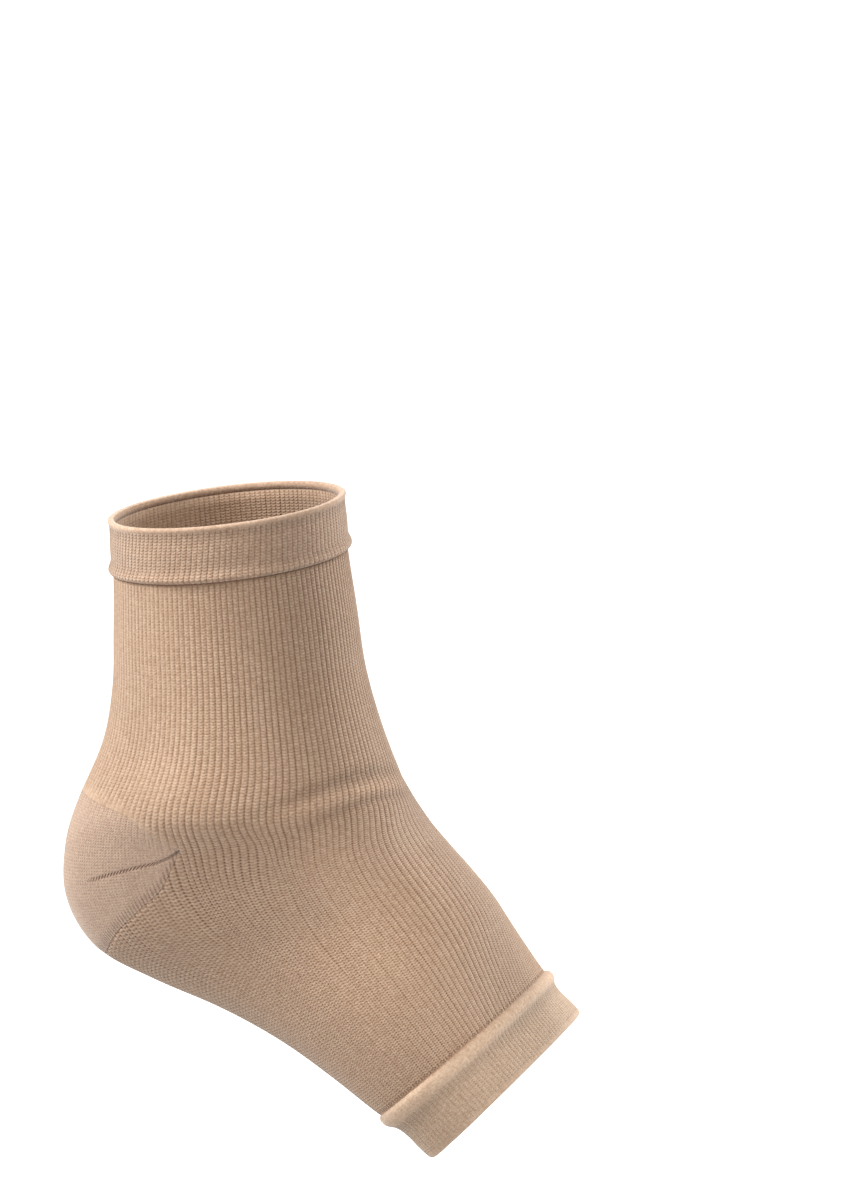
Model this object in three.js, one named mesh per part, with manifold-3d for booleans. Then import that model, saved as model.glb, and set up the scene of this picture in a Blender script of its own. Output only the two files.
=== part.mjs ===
// Knitted open-toe ankle sleeve in the form it keeps when worn: a compression sleeve with a heel pocket
// and a turned-over cuff at the leg and at the toes.
// Millimetres. +Z runs up the leg, +X towards the toes and +Y to the inner side of a right foot.
// The origin is the ankle centre: the leg runs straight up from it, the foot slants down and forward.
import * as THREE from "three";
import { mergeVertices } from "three/addons/utils/BufferGeometryUtils.js";
import Module from "manifold-3d";

const wasm = await Module();
wasm.setup();

// Worn form
const legHeight = 91; // ankle centre to the top rim
const legDepth = 76; // front to back at the top
const legWidth = 70; // side to side at the top
const heelDepth = 115; // instep to the point of the heel
const heelWidth = 72; // across the ankle bones
const footForward = 79; // ankle centre to the middle of the toe opening
const footAside = 25;
const footDrop = 108;
const footDepth = 46; // instep to sole at the toe opening
const footWidth = 84; // across the ball of the foot
const reliefHeight = 2; // ankle bones, hollows and creases at the instep
const creaseWidth = 3.2;

// Knit and fits
const sleeveWall = 1.1;
const heelWall = 1.1;
const topCuffWall = 1.2;
const footCuffWall = 1.2;
const clearance = 0.3; // between two pieces that touch

// Top cuff
const topCuffLength = 17.3;
const rimLength = 2.4; // rolled rim that closes the cuff over the sleeve's end
const rimSwell = 0.5; // how far the rim stands proud of the cuff
const hemSwell = 0.4; // bulge of the turned-over edge

// Foot cuff
const footCuffLength = 20;
const lipLength = 2.2;
const ridgeLength = 3.4; // raised ridge at the cuff's rear edge
const ridgeSwell = 1.1;
const valleyDepth = 0.5; // groove in front of the ridge

// Heel pocket, by the angle from the back of the heel
const pocketTurn = 68; // degrees from the back to each point of the pocket
const pocketTop = 14.5; // above the pocket's points, along the form
const pocketBottom = 28; // below them
const pocketDrop = 11.4; // the points themselves, below the ankle centre

// Facets
const facetsAround = 48;
const coarseStep = 7.2;
const fineStep = 3;
const pocketColumns = 24;
const pocketRows = 9;

// Rows of numbers as rows with named columns.
function table(columns, rows) {
  return rows.map((row) => Object.fromEntries(columns.map((column, i) => [column, row[i]])));
}

const footLine = new THREE.Vector3(footForward, footAside, -footDrop);
const footReach = footLine.length();
const formLength = legHeight + footReach;

// Sections of the form, down the leg and out along the foot. at: share of legHeight above the ankle centre,
// or of footReach beyond it. tilt: how far the section's front is raised, in degrees. dip: how far its inner
// side turns forward. roll: how far its width turns about the foot. front, back: shares of the depth.
// near, far: shares of the width to the outer and inner side. taper: narrower back where positive.
// square: how flat the back is.
const sectionColumns = ["at", "tilt", "dip", "roll", "front", "back", "near", "far", "taper", "square"];
const legSections = table(sectionColumns, [
  [1.0, 3.2, 0, 0, 0.462, 0.455, 0.455, 0.455, 0.02, 0],
  [0.8, 3.0, 0, 0, 0.468, 0.46, 0.46, 0.46, 0.02, 0],
  [0.6, 2.0, 0, 0, 0.489, 0.477, 0.468, 0.468, 0.02, 0],
  [0.4, 0.8, 0, 0, 0.509, 0.499, 0.485, 0.485, 0.03, 0],
  [0.2, 0.0, 1, 1, 0.56, 0.558, 0.5, 0.5, 0.06, 0],
]);
const heelSections = table(sectionColumns, [
  [0.0, 1.0, 2, 3, 0.417, 0.451, 0.5, 0.5, 0.14, 0],
  [0.09, 6.0, 3, 5, 0.377, 0.565, 0.49, 0.5, 0.22, 0],
  [0.18, 12.0, 4, 8, 0.343, 0.653, 0.475, 0.49, 0.25, 0],
  [0.27, 17.0, 5, 10, 0.32, 0.669, 0.465, 0.485, 0.22, 0],
  [0.36, 20.5, 6, 13, 0.311, 0.607, 0.455, 0.48, 0.15, 0],
]);
const footSections = table(sectionColumns, [
  [0.46, 24.5, 8, 16, 0.76, 1.27, 0.41, 0.43, 0.05, 0.05],
  [0.58, 29.0, 9, 20, 0.73, 1.04, 0.445, 0.44, -0.05, 0.1],
  [0.7, 33.0, 11, 24, 0.64, 0.87, 0.475, 0.46, -0.08, 0.15],
  [0.82, 37.5, 13, 27, 0.55, 0.7, 0.495, 0.46, -0.1, 0.2],
  [0.91, 40.5, 14, 29, 0.5, 0.57, 0.49, 0.44, -0.1, 0.2],
  [1.0, 42.0, 14, 30, 0.47, 0.5, 0.48, 0.43, -0.1, 0.2],
]);

// Ankle bones, hollows beside the tendon and the two creases at the instep with the roll between them.
// at: share of legHeight below the rim. angle: degrees from the front, negative on the outer side.
// width: half length along the form in crease widths. reach: half spread in degrees. sag: how far the ends
// run down, in crease widths. height: share of reliefHeight.
const reliefColumns = ["at", "angle", "width", "reach", "sag", "height"];
const reliefs = table(reliefColumns, [
  [1.0, -98, 4.2, 24, 0, 0.7],
  [0.93, 92, 4.5, 24, 0, 1.1],
  [0.82, -138, 6, 22, 0, -0.8],
  [0.82, 138, 6, 22, 0, -0.8],
  [0.908, -22, 1, 46, 1.2, -0.35],
  [0.957, -20, 1.1, 48, 0.7, 0.5],
  [1.012, -18, 0.9, 42, 1, -0.3],
]);

// Seams of the heel pocket. turn: share of pocketTurn from the back. upper: share of pocketTop above the
// pocket's points. lower: share of pocketBottom below them.
const pocketPoint = legHeight + pocketDrop;
const pocketSeams = table(["turn", "upper", "lower"], [
  [0.0, 1.0, 1.0],
  [0.3, 0.97, 0.92],
  [0.6, 0.83, 0.7],
  [0.75, 0.68, 0.53],
  [0.88, 0.35, 0.35],
  [1.0, 0.0, 0.02],
]);

// Slopes for a smooth curve through the rows of a table, by the differences of their neighbours.
function slopesOf(knots, rows) {
  return rows.map((row, i) => {
    const before = Math.max(i - 1, 0);
    const after = Math.min(i + 1, rows.length - 1);
    return row.map((value, k) => (rows[after][k] - rows[before][k]) / (knots[after] - knots[before]));
  });
}

// A smooth curve through rows of numbers, each at its own knot.
function smoothTable(knots, rows) {
  const slopes = slopesOf(knots, rows);
  return (place) => {
    let i = 0;
    while (i < knots.length - 2 && place > knots[i + 1]) i += 1;
    const span = knots[i + 1] - knots[i];
    const t = (place - knots[i]) / span;
    const fromStart = (1 + 2 * t) * (1 - t) ** 2;
    const fromEnd = t * t * (3 - 2 * t);
    const startSlope = t * (1 - t) ** 2 * span;
    const endSlope = t * t * (t - 1) * span;
    const leaving = (value, k) => fromStart * value + startSlope * slopes[i][k];
    const arriving = (value, k) => fromEnd * value + endSlope * slopes[i + 1][k];
    return rows[i].map((value, k) => leaving(value, k) + arriving(rows[i + 1][k], k));
  };
}

// One section as plain numbers: centre, three angles, four half lengths and two shape numbers.
function sectionRow(section, centre, depth, width) {
  return [
    centre.x,
    centre.y,
    centre.z,
    THREE.MathUtils.degToRad(section.tilt),
    THREE.MathUtils.degToRad(section.dip),
    THREE.MathUtils.degToRad(section.roll),
    section.front * depth,
    section.back * depth,
    section.near * width,
    section.far * width,
    section.taper,
    section.square,
  ];
}

function legRow(section) {
  return sectionRow(section, new THREE.Vector3(0, 0, legHeight * section.at), legDepth, legWidth);
}

function footRow(section, depth, width) {
  return sectionRow(section, footLine.clone().multiplyScalar(section.at), depth, width);
}

const sectionKnots = [
  ...legSections.map((section) => legHeight * (1 - section.at)),
  ...heelSections.map((section) => legHeight + footReach * section.at),
  ...footSections.map((section) => legHeight + footReach * section.at),
];
const sectionAt = smoothTable(sectionKnots, [
  ...legSections.map(legRow),
  ...heelSections.map((section) => footRow(section, heelDepth, heelWidth)),
  ...footSections.map((section) => footRow(section, footDepth, footWidth)),
]);

function seamRow(seam) {
  return [pocketPoint - seam.upper * pocketTop, pocketPoint + seam.lower * pocketBottom];
}

const pocketAt = smoothTable(
  pocketSeams.map((seam) => seam.turn),
  pocketSeams.map(seamRow),
);

// Height of the ankle bones, hollows and creases at a place on the form.
function reliefAt(station, angle) {
  let height = 0;
  for (const relief of reliefs) {
    const middle = THREE.MathUtils.degToRad(relief.angle);
    const turned = Math.atan2(Math.sin(angle - middle), Math.cos(angle - middle));
    const aside = turned / THREE.MathUtils.degToRad(relief.reach);
    const line = relief.at * legHeight + relief.sag * creaseWidth * aside * aside;
    const along = (station - line) / (relief.width * creaseWidth);
    height += relief.height * reliefHeight * Math.exp(-along * along - aside * aside);
  }
  return height;
}

// A point of the inner surface, by its station along the form and its angle from the front.
function formPoint(station, angle) {
  const [x, y, z, tilt, dip, roll, front, back, near, far, taper, square] = sectionAt(station);
  const rise = new THREE.Vector3(Math.cos(tilt), 0, Math.sin(tilt));
  const ahead = new THREE.Vector3(Math.sin(tilt), 0, -Math.cos(tilt));
  const across = new THREE.Vector3(0, Math.cos(dip), 0).addScaledVector(ahead, Math.sin(dip));
  const depthAxis = rise.clone().multiplyScalar(Math.cos(roll)).addScaledVector(across, -Math.sin(roll));
  const widthAxis = rise.clone().multiplyScalar(Math.sin(roll)).addScaledVector(across, Math.cos(roll));
  const frontward = Math.cos(angle);
  const sideward = Math.sin(angle);
  const depth = frontward > 0 ? front * frontward : -back * Math.pow(-frontward, 1 - square);
  const width = (sideward > 0 ? far : near) * sideward * (1 + taper * frontward);
  return new THREE.Vector3(x, y, z).addScaledVector(depthAxis, depth).addScaledVector(widthAxis, width);
}

const stationNudge = 0.3;
const angleNudge = 0.01;

// A point that stands the given distance out from the inner surface, with the relief added.
function wallPoint(station, angle, out) {
  const along = formPoint(station + stationNudge, angle).sub(formPoint(station - stationNudge, angle));
  const around = formPoint(station, angle + angleNudge).sub(formPoint(station, angle - angleNudge));
  const outward = along.cross(around).normalize();
  return formPoint(station, angle).addScaledVector(outward, out + reliefAt(station, angle));
}

// A closed surface from a grid of points, given the corners of its faces as row and column pairs.
function closedGeometry(points, faces) {
  const geometry = new THREE.BufferGeometry();
  const positions = new Float32Array(points.flatMap((point) => [point.x, point.y, point.z]));
  geometry.setAttribute("position", new THREE.BufferAttribute(positions, 3));
  geometry.setIndex(faces);
  return mergeVertices(geometry);
}

function quad(a, b, c, d) {
  return [a, b, c, a, c, d];
}

// A tube with the given wall profile: a closed list of stations and heights above the inner surface,
// down the outside and back up the inside.
function tubeGeometry(profile) {
  const points = [];
  const faces = [];
  profile.forEach(({ station, out }, row) => {
    const nextRow = (row + 1) % profile.length;
    for (let column = 0; column < facetsAround; column += 1) {
      const nextColumn = (column + 1) % facetsAround;
      points.push(wallPoint(station, (2 * Math.PI * column) / facetsAround, out));
      faces.push(
        ...quad(
          row * facetsAround + column,
          nextRow * facetsAround + column,
          nextRow * facetsAround + nextColumn,
          row * facetsAround + nextColumn,
        ),
      );
    }
  });
  return closedGeometry(points, faces);
}

// The heel pocket's patch of the form, between two heights and drawn in from its seams by the margin.
function pocketGeometry(inner, outer, margin) {
  const points = [];
  const faces = [];
  const columns = pocketColumns + 1;
  const rows = pocketRows + 1;
  const endTurn = 1 - margin / pocketTop;
  for (const out of [outer, inner]) {
    for (let row = 0; row < rows; row += 1) {
      for (let column = 0; column < columns; column += 1) {
        const turn = endTurn * ((2 * column) / pocketColumns - 1);
        const [upper, lower] = pocketAt(Math.abs(turn));
        const station = THREE.MathUtils.lerp(upper + margin, lower - margin, row / pocketRows);
        const angle = Math.PI + THREE.MathUtils.degToRad(turn * pocketTurn);
        points.push(wallPoint(station, angle, out));
      }
    }
  }
  const layer = rows * columns;
  for (let row = 0; row < pocketRows; row += 1) {
    for (let column = 0; column < pocketColumns; column += 1) {
      const a = row * columns + column;
      const b = a + columns;
      faces.push(...quad(a, b, b + 1, a + 1));
      faces.push(...quad(layer + a, layer + a + 1, layer + b + 1, layer + b));
    }
  }
  for (let column = 0; column < pocketColumns; column += 1) {
    const low = pocketRows * columns + column;
    faces.push(...quad(column, column + 1, layer + column + 1, layer + column));
    faces.push(...quad(low, layer + low, layer + low + 1, low + 1));
  }
  for (let row = 0; row < pocketRows; row += 1) {
    const left = row * columns;
    const right = left + pocketColumns;
    faces.push(...quad(left, layer + left, layer + left + columns, left + columns));
    faces.push(...quad(right, right + columns, layer + right + columns, layer + right));
  }
  return closedGeometry(points, faces);
}

function solidOf(geometry) {
  const vertProperties = geometry.attributes.position.array;
  const triVerts = new Uint32Array(geometry.index.array);
  return new wasm.Manifold(new wasm.Mesh({ numProp: 3, vertProperties, triVerts }));
}

function geometryOf(solid) {
  const { vertProperties, triVerts } = solid.getMesh();
  const geometry = new THREE.BufferGeometry();
  geometry.setAttribute("position", new THREE.BufferAttribute(vertProperties, 3));
  geometry.setIndex(new THREE.BufferAttribute(triVerts, 1));
  return geometry;
}

function namedMesh(name, geometry, color, roughness) {
  geometry.computeVertexNormals();
  const mesh = new THREE.Mesh(geometry, new THREE.MeshStandardMaterial({ color, roughness, metalness: 0 }));
  mesh.name = name;
  return mesh;
}

// Where the sleeve's own ends lie, under the rim of one cuff and the lip of the other.
// The foot's sections are slanted to its line, so a length across them is longer along the form.
const opening = footSections[footSections.length - 1];
const openingTilt = THREE.MathUtils.degToRad(opening.tilt);
const openingAhead = new THREE.Vector3(Math.sin(openingTilt), 0, -Math.cos(openingTilt));
const slant = footReach / footLine.dot(openingAhead);
const lap = sleeveWall + clearance; // height at which a cuff lies on the sleeve
const sleeveTop = rimLength + clearance;
const sleeveEnd = formLength - (lipLength + clearance) * slant;

// Even steps along the form, finer where the instep creases.
function sleeveStations() {
  const creases = reliefs.filter((relief) => relief.sag > 0).map((relief) => relief.at * legHeight);
  const fineFrom = Math.min(...creases) - 2 * creaseWidth;
  const fineTo = Math.max(...creases) + 3 * creaseWidth;
  const spans = [
    [sleeveTop, fineFrom, coarseStep],
    [fineFrom, fineTo, fineStep],
    [fineTo, sleeveEnd, coarseStep],
  ];
  const stations = [sleeveTop];
  for (const [from, to, step] of spans) {
    const count = Math.max(1, Math.ceil((to - from) / step));
    for (let i = 1; i <= count; i += 1) stations.push(THREE.MathUtils.lerp(from, to, i / count));
  }
  return stations;
}

function makeSleeve() {
  const stations = sleeveStations();
  const outside = stations.map((station) => ({ station, out: sleeveWall }));
  const inside = stations.map((station) => ({ station, out: 0 })).reverse();
  const tube = solidOf(tubeGeometry([...outside, ...inside]));
  const cutReach = 2 * (sleeveWall + heelWall);
  const heelHole = solidOf(pocketGeometry(-cutReach, cutReach, 0));
  return geometryOf(tube.subtract(heelHole));
}

function makeHeelPocket() {
  return pocketGeometry(0, heelWall, clearance * 1.5);
}

function makeTopCuff() {
  const face = lap + topCuffWall;
  const rim = face + rimSwell;
  return tubeGeometry([
    { station: 0, out: face * 0.5 },
    { station: 0.1 * rimLength, out: face * 0.85 },
    { station: 0.4 * rimLength, out: rim },
    { station: 0.75 * rimLength, out: rim - 0.1 * rimSwell },
    { station: 1.1 * rimLength, out: face - 0.2 * rimSwell },
    { station: 0.35 * topCuffLength, out: face },
    { station: 0.65 * topCuffLength, out: face },
    { station: 0.9 * topCuffLength, out: face + hemSwell },
    { station: 0.98 * topCuffLength, out: face + 0.6 * hemSwell },
    { station: topCuffLength, out: lap + 0.4 * topCuffWall },
    { station: topCuffLength, out: lap },
    { station: 0.5 * topCuffLength, out: lap },
    { station: rimLength, out: lap },
    { station: rimLength, out: 0 },
    { station: 0.3 * rimLength, out: 0 },
  ]);
}

function makeFootCuff() {
  const face = lap + footCuffWall;
  const fromEdge = (length) => formLength - length * slant;
  const ridgeFront = footCuffLength - ridgeLength;
  return tubeGeometry([
    { station: fromEdge(footCuffLength), out: lap },
    { station: fromEdge(footCuffLength), out: lap + 0.5 * footCuffWall },
    { station: fromEdge(footCuffLength - 0.15 * ridgeLength), out: face + 0.6 * ridgeSwell },
    { station: fromEdge(footCuffLength - 0.45 * ridgeLength), out: face + ridgeSwell },
    { station: fromEdge(footCuffLength - 0.75 * ridgeLength), out: face + 0.75 * ridgeSwell },
    { station: fromEdge(ridgeFront), out: face - 0.7 * valleyDepth },
    { station: fromEdge(ridgeFront - 0.3 * ridgeLength), out: face - valleyDepth },
    { station: fromEdge(ridgeFront - ridgeLength), out: face },
    { station: fromEdge(0.4 * footCuffLength), out: face },
    { station: fromEdge(lipLength), out: face },
    { station: fromEdge(0.35 * lipLength), out: face - 0.2 * footCuffWall },
    { station: formLength, out: face * 0.55 },
    { station: fromEdge(0.25 * lipLength), out: 0 },
    { station: fromEdge(lipLength), out: 0 },
    { station: fromEdge(lipLength), out: lap },
    { station: fromEdge(0.5 * footCuffLength), out: lap },
  ]);
}

const ankleSleeve = new THREE.Group();
ankleSleeve.add(
  namedMesh("sleeve", makeSleeve(), 0xb89a80, 0.92),
  namedMesh("heel_pocket", makeHeelPocket(), 0xc4a58b, 0.94),
  namedMesh("top_cuff", makeTopCuff(), 0xc6aa90, 0.9),
  namedMesh("foot_cuff", makeFootCuff(), 0xc6aa90, 0.9),
);

export default ankleSleeve;
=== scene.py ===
import bpy
import math
import numpy as np
from mathutils import Matrix, Vector


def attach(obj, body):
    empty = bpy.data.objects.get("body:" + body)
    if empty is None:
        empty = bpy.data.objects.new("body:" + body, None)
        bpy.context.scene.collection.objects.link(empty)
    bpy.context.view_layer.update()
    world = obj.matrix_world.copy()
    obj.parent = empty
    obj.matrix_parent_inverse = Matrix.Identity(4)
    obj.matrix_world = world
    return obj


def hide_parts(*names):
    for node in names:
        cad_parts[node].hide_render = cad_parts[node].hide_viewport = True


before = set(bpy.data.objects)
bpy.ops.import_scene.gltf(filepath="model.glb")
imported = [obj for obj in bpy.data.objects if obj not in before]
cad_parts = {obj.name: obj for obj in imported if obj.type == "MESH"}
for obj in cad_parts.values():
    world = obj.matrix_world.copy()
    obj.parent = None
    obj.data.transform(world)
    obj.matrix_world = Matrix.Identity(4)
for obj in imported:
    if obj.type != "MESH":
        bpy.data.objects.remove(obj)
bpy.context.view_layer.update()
print("frame loaded:", sorted(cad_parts))

mm = 0.001

# The worn form, in millimetres: the same named sizes as the solids have
form = {
    "legHeight": 91, "legDepth": 76, "legWidth": 70,
    "heelDepth": 115, "heelWidth": 72,
    "footLine": (79, 25, -108), "footDepth": 46, "footWidth": 84,
    "reliefHeight": 2, "creaseWidth": 3.2,
}
footReach = float(np.linalg.norm(form["footLine"]))
formLength = form["legHeight"] + footReach

# at: share of the leg's height or of the foot's reach. Then tilt, dip and roll in degrees, the shares of the
# depth in front and behind, the shares of the width on the near and far side, taper and square.
legSections = [
    (1.0, 3.2, 0, 0, 0.462, 0.455, 0.455, 0.455, 0.02, 0),
    (0.8, 3.0, 0, 0, 0.468, 0.46, 0.46, 0.46, 0.02, 0),
    (0.6, 2.0, 0, 0, 0.489, 0.477, 0.468, 0.468, 0.02, 0),
    (0.4, 0.8, 0, 0, 0.509, 0.499, 0.485, 0.485, 0.03, 0),
    (0.2, 0.0, 1, 1, 0.56, 0.558, 0.5, 0.5, 0.06, 0),
]
heelSections = [
    (0.0, 1.0, 2, 3, 0.417, 0.451, 0.5, 0.5, 0.14, 0),
    (0.09, 6.0, 3, 5, 0.377, 0.565, 0.49, 0.5, 0.22, 0),
    (0.18, 12.0, 4, 8, 0.343, 0.653, 0.475, 0.49, 0.25, 0),
    (0.27, 17.0, 5, 10, 0.32, 0.669, 0.465, 0.485, 0.22, 0),
    (0.36, 20.5, 6, 13, 0.311, 0.607, 0.455, 0.48, 0.15, 0),
]
footSections = [
    (0.46, 24.5, 8, 16, 0.76, 1.27, 0.41, 0.43, 0.05, 0.05),
    (0.58, 29.0, 9, 20, 0.73, 1.04, 0.445, 0.44, -0.05, 0.1),
    (0.7, 33.0, 11, 24, 0.64, 0.87, 0.475, 0.46, -0.08, 0.15),
    (0.82, 37.5, 13, 27, 0.55, 0.7, 0.495, 0.46, -0.1, 0.2),
    (0.91, 40.5, 14, 29, 0.5, 0.57, 0.49, 0.44, -0.1, 0.2),
    (1.0, 42.0, 14, 30, 0.47, 0.5, 0.48, 0.43, -0.1, 0.2),
]

# Ankle bones, hollows and instep creases. at: share of the leg's height below the rim. angle and reach in
# degrees. width and sag in crease widths. height: share of reliefHeight.
reliefs = [
    {"at": 1.0, "angle": -98, "width": 4.2, "reach": 24, "sag": 0, "height": 0.7},
    {"at": 0.93, "angle": 92, "width": 4.5, "reach": 24, "sag": 0, "height": 1.1},
    {"at": 0.82, "angle": -138, "width": 6, "reach": 22, "sag": 0, "height": -0.8},
    {"at": 0.82, "angle": 138, "width": 6, "reach": 22, "sag": 0, "height": -0.8},
    {"at": 0.91, "angle": -38, "width": 0.75, "reach": 34, "sag": 1.4, "height": -0.28},
    {"at": 0.964, "angle": -38, "width": 0.8, "reach": 32, "sag": 1.3, "height": 0.16},
    {"at": 1.013, "angle": -36, "width": 0.75, "reach": 30, "sag": 1.9, "height": -0.24},
]

# Painted light and shade, the same on both sides: the knit is painted lighter over the foot and darker round
# the ankle.
# at: station. angle and reach in degrees.
paintedShadingSpots = [
    {"at": 25, "angle": 51, "length": 50, "reach": 21, "strength": -0.17},
    {"at": 41, "angle": 95, "length": 34, "reach": 42, "strength": 0.1},
    {"at": 71, "angle": 102, "length": 18, "reach": 39, "strength": 0.1},
    {"at": 89, "angle": 77, "length": 17, "reach": 31, "strength": -0.13},
    {"at": 148, "angle": 66, "length": 60, "reach": 46, "strength": 0.57},
    {"at": 210, "angle": 47, "length": 35, "reach": 34, "strength": 0.22},
]
brightestPaintedLight = 0.56      # the strength of painted light that leaves a yarn's colour as it is; below it the colour is painted darker
creasePaintedShading = 0.55    # painted shade in the creases and painted light on the fold between them, for each millimetre of a crease's depth


def smoothTable(knots, rows):
    # A smooth curve through rows of numbers, each at its own knot.
    knots = np.array(knots, float)
    rows = np.array(rows, float)
    last = len(knots) - 1
    before = np.maximum(np.arange(last + 1) - 1, 0)
    after = np.minimum(np.arange(last + 1) + 1, last)
    slopes = (rows[after] - rows[before]) / (knots[after] - knots[before])[:, None]

    def at(place):
        place = np.asarray(place, float)
        i = np.clip(np.searchsorted(knots, place) - 1, 0, last - 1)
        span = knots[i + 1] - knots[i]
        t = (place - knots[i]) / span
        fromStart = (1 + 2 * t) * (1 - t) ** 2
        fromEnd = t * t * (3 - 2 * t)
        startSlope = t * (1 - t) ** 2 * span
        endSlope = t * t * (t - 1) * span
        leaving = fromStart[..., None] * rows[i] + startSlope[..., None] * slopes[i]
        return leaving + fromEnd[..., None] * rows[i + 1] + endSlope[..., None] * slopes[i + 1]

    return at


def fade(value, start, end):
    # from 0 at start to 1 at end, smoothly
    t = np.clip((value - start) / (end - start), 0, 1)
    return t * t * (3 - 2 * t)


def bump(value, middle, reach):
    # 1 in the middle, fading out on both sides
    return np.exp(-((value - middle) / reach) ** 2)


def degreesAside(angle):
    # degrees from the front, counted alike on both sides
    return np.degrees(np.abs(np.arctan2(np.sin(angle), np.cos(angle))))


def sectionRow(section, centre, depth, width):
    at, tilt, dip, roll, front, back, near, far, taper, square = section
    angles = [math.radians(x) for x in (tilt, dip, roll)]
    return [*centre, *angles, front * depth, back * depth, near * width, far * width, taper, square]


def footRow(section, depth, width):
    return sectionRow(section, [section[0] * x for x in form["footLine"]], depth, width)


sectionKnots = [form["legHeight"] * (1 - section[0]) for section in legSections]
sectionKnots += [form["legHeight"] + footReach * section[0] for section in heelSections + footSections]
sectionRows = [
    sectionRow(section, (0, 0, form["legHeight"] * section[0]), form["legDepth"], form["legWidth"])
    for section in legSections
]
sectionRows += [footRow(section, form["heelDepth"], form["heelWidth"]) for section in heelSections]
sectionRows += [footRow(section, form["footDepth"], form["footWidth"]) for section in footSections]
sectionAt = smoothTable(sectionKnots, sectionRows)


def formPoints(station, angle):
    # Points of the inner surface, by station along the form and angle from the front.
    row = sectionAt(station)
    centre = row[..., :3]
    tilt, dip, roll, front, back, near, far, taper, square = np.moveaxis(row[..., 3:], -1, 0)
    zero = np.zeros_like(tilt)
    rise = np.stack([np.cos(tilt), zero, np.sin(tilt)], -1)
    ahead = np.stack([np.sin(tilt), zero, -np.cos(tilt)], -1)
    across = np.stack([zero, np.cos(dip), zero], -1) + ahead * np.sin(dip)[..., None]
    cosRoll = np.cos(roll)[..., None]
    sinRoll = np.sin(roll)[..., None]
    frontward = np.cos(angle)
    sideward = np.sin(angle)
    behind = -back * np.power(np.maximum(-frontward, 1e-9), 1 - square)
    depth = np.where(frontward > 0, front * frontward, behind)
    width = np.where(sideward > 0, far, near) * sideward * (1 + taper * frontward)
    point = centre + (rise * cosRoll - across * sinRoll) * depth[..., None]
    return point + (rise * sinRoll + across * cosRoll) * width[..., None]


def reliefAt(station, angle, creasesOnly=False):
    height = np.zeros(np.shape(station))
    for relief in reliefs:
        if creasesOnly and not relief["sag"]:
            continue
        middle = math.radians(relief["angle"])
        turned = np.arctan2(np.sin(angle - middle), np.cos(angle - middle))
        aside = turned / math.radians(relief["reach"])
        line = relief["at"] * form["legHeight"] + relief["sag"] * form["creaseWidth"] * aside**2
        along = (station - line) / (relief["width"] * form["creaseWidth"])
        height += relief["height"] * form["reliefHeight"] * np.exp(-along**2 - aside**2)
    return height


def paintedShadingAt(station, angle):
    # painted light and shade: what a yarn's colour is multiplied by
    aside = degreesAside(angle)
    # painted shade in the instep creases, painted light on the fold between them, then the painted light and
    # shade of the spots
    strength = creasePaintedShading * reliefAt(station, angle, True) - brightestPaintedLight
    for tone in paintedShadingSpots:
        away = ((station - tone["at"]) / tone["length"]) ** 2 + ((aside - tone["angle"]) / tone["reach"]) ** 2
        strength = strength + tone["strength"] * np.exp(-away)
    return np.exp(np.minimum(strength, 0))


def wallPoints(station, angle, out):
    # Points that stand a distance out from the inner surface, in millimetres.
    step, turn = 0.3, 0.01
    along = formPoints(station + step, angle) - formPoints(station - step, angle)
    around = formPoints(station, angle + turn) - formPoints(station, angle - turn)
    outward = np.cross(along, around)
    outward /= np.linalg.norm(outward, axis=-1, keepdims=True)
    return formPoints(station, angle) + outward * (out + reliefAt(station, angle))[..., None]


# Seams of the heel pocket. turn: share of pocketTurn from the back. upper: share of pocketTop above the
# pocket's points. lower: share of pocketBottom below them.
heel = {
    "pocketTurn": 68, "pocketTop": 14.5, "pocketBottom": 28, "pocketPoint": form["legHeight"] + 11.4,
    "wall": 1.1, "columnsPerRib": 8, "rows": 150, "innerRows": 24,
    "seamDip": 0.14, "seamWidth": 1.1,    # the lower edge sinks a little into its seam
    "ribShare": 0.45, "ribReach": 6.0,    # share of the sleeve's ribs that runs out on the pocket
    "lap": 0.2, "lapRise": 0.05,          # its edges pass a little over the sleeve's
    "goreDip": 0.12, "goreWidth": 0.6,
    "goreStart": 0.4, "goreFull": 0.56,   # share of pocketTurn where the gore line sets in
    "edgeCourse": 100,                    # number of the knit course along its cut edges
    "flat": (0.1, 0.062), "flatArea": 0.0045,
}
pocketSeams = [
    (0.0, 1.0, 1.0), (0.3, 0.97, 0.92), (0.6, 0.83, 0.7),
    (0.75, 0.68, 0.56), (0.88, 0.35, 0.39), (1.0, 0.0, 0.0),
]
pocketAt = smoothTable(
    [turn for turn, upper, lower in pocketSeams],
    [
        (heel["pocketPoint"] - upper * heel["pocketTop"], heel["pocketPoint"] + lower * heel["pocketBottom"])
        for turn, upper, lower in pocketSeams
    ],
)


def pocketTurnAt(angle):
    # 0 at the back, 1 at the heel pocket's points
    return np.abs(np.mod(angle, 2 * math.pi) - math.pi) / math.radians(heel["pocketTurn"])


def seamStations(angle):
    # Stations of the upper and lower seam at angles round the back.
    return np.moveaxis(pocketAt(np.clip(pocketTurnAt(angle), 0, 1)), -1, 0)


# Ribs and courses of the knit, counted round the form and down it
knit = {
    "ribs": 128,
    "frontRibs": 80,                       # those between the two points of the heel pocket
    "ribRise": 0.15,                       # their tops stand this far over the wall
    "straightTo": 100, "evenFrom": 190,    # stations where they stop running straight and are evenly spaced
    "pull": 12,                            # degrees that the heel pulls them back at the ankle
    "pullFrom": 78, "pullTo": 126,         # stations between which that pull sets in
    "easeFrom": 128, "easeTo": 215,        # and between which it ends
    "courseLength": 0.93,
    "courseLine": -70,                     # degrees from the front, where courses have that length
    "overrun": 2,                          # the tables run on this far past both ends
    "ribRows": 160, "ribSteps": 361, "courseRows": 400,
}


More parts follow.
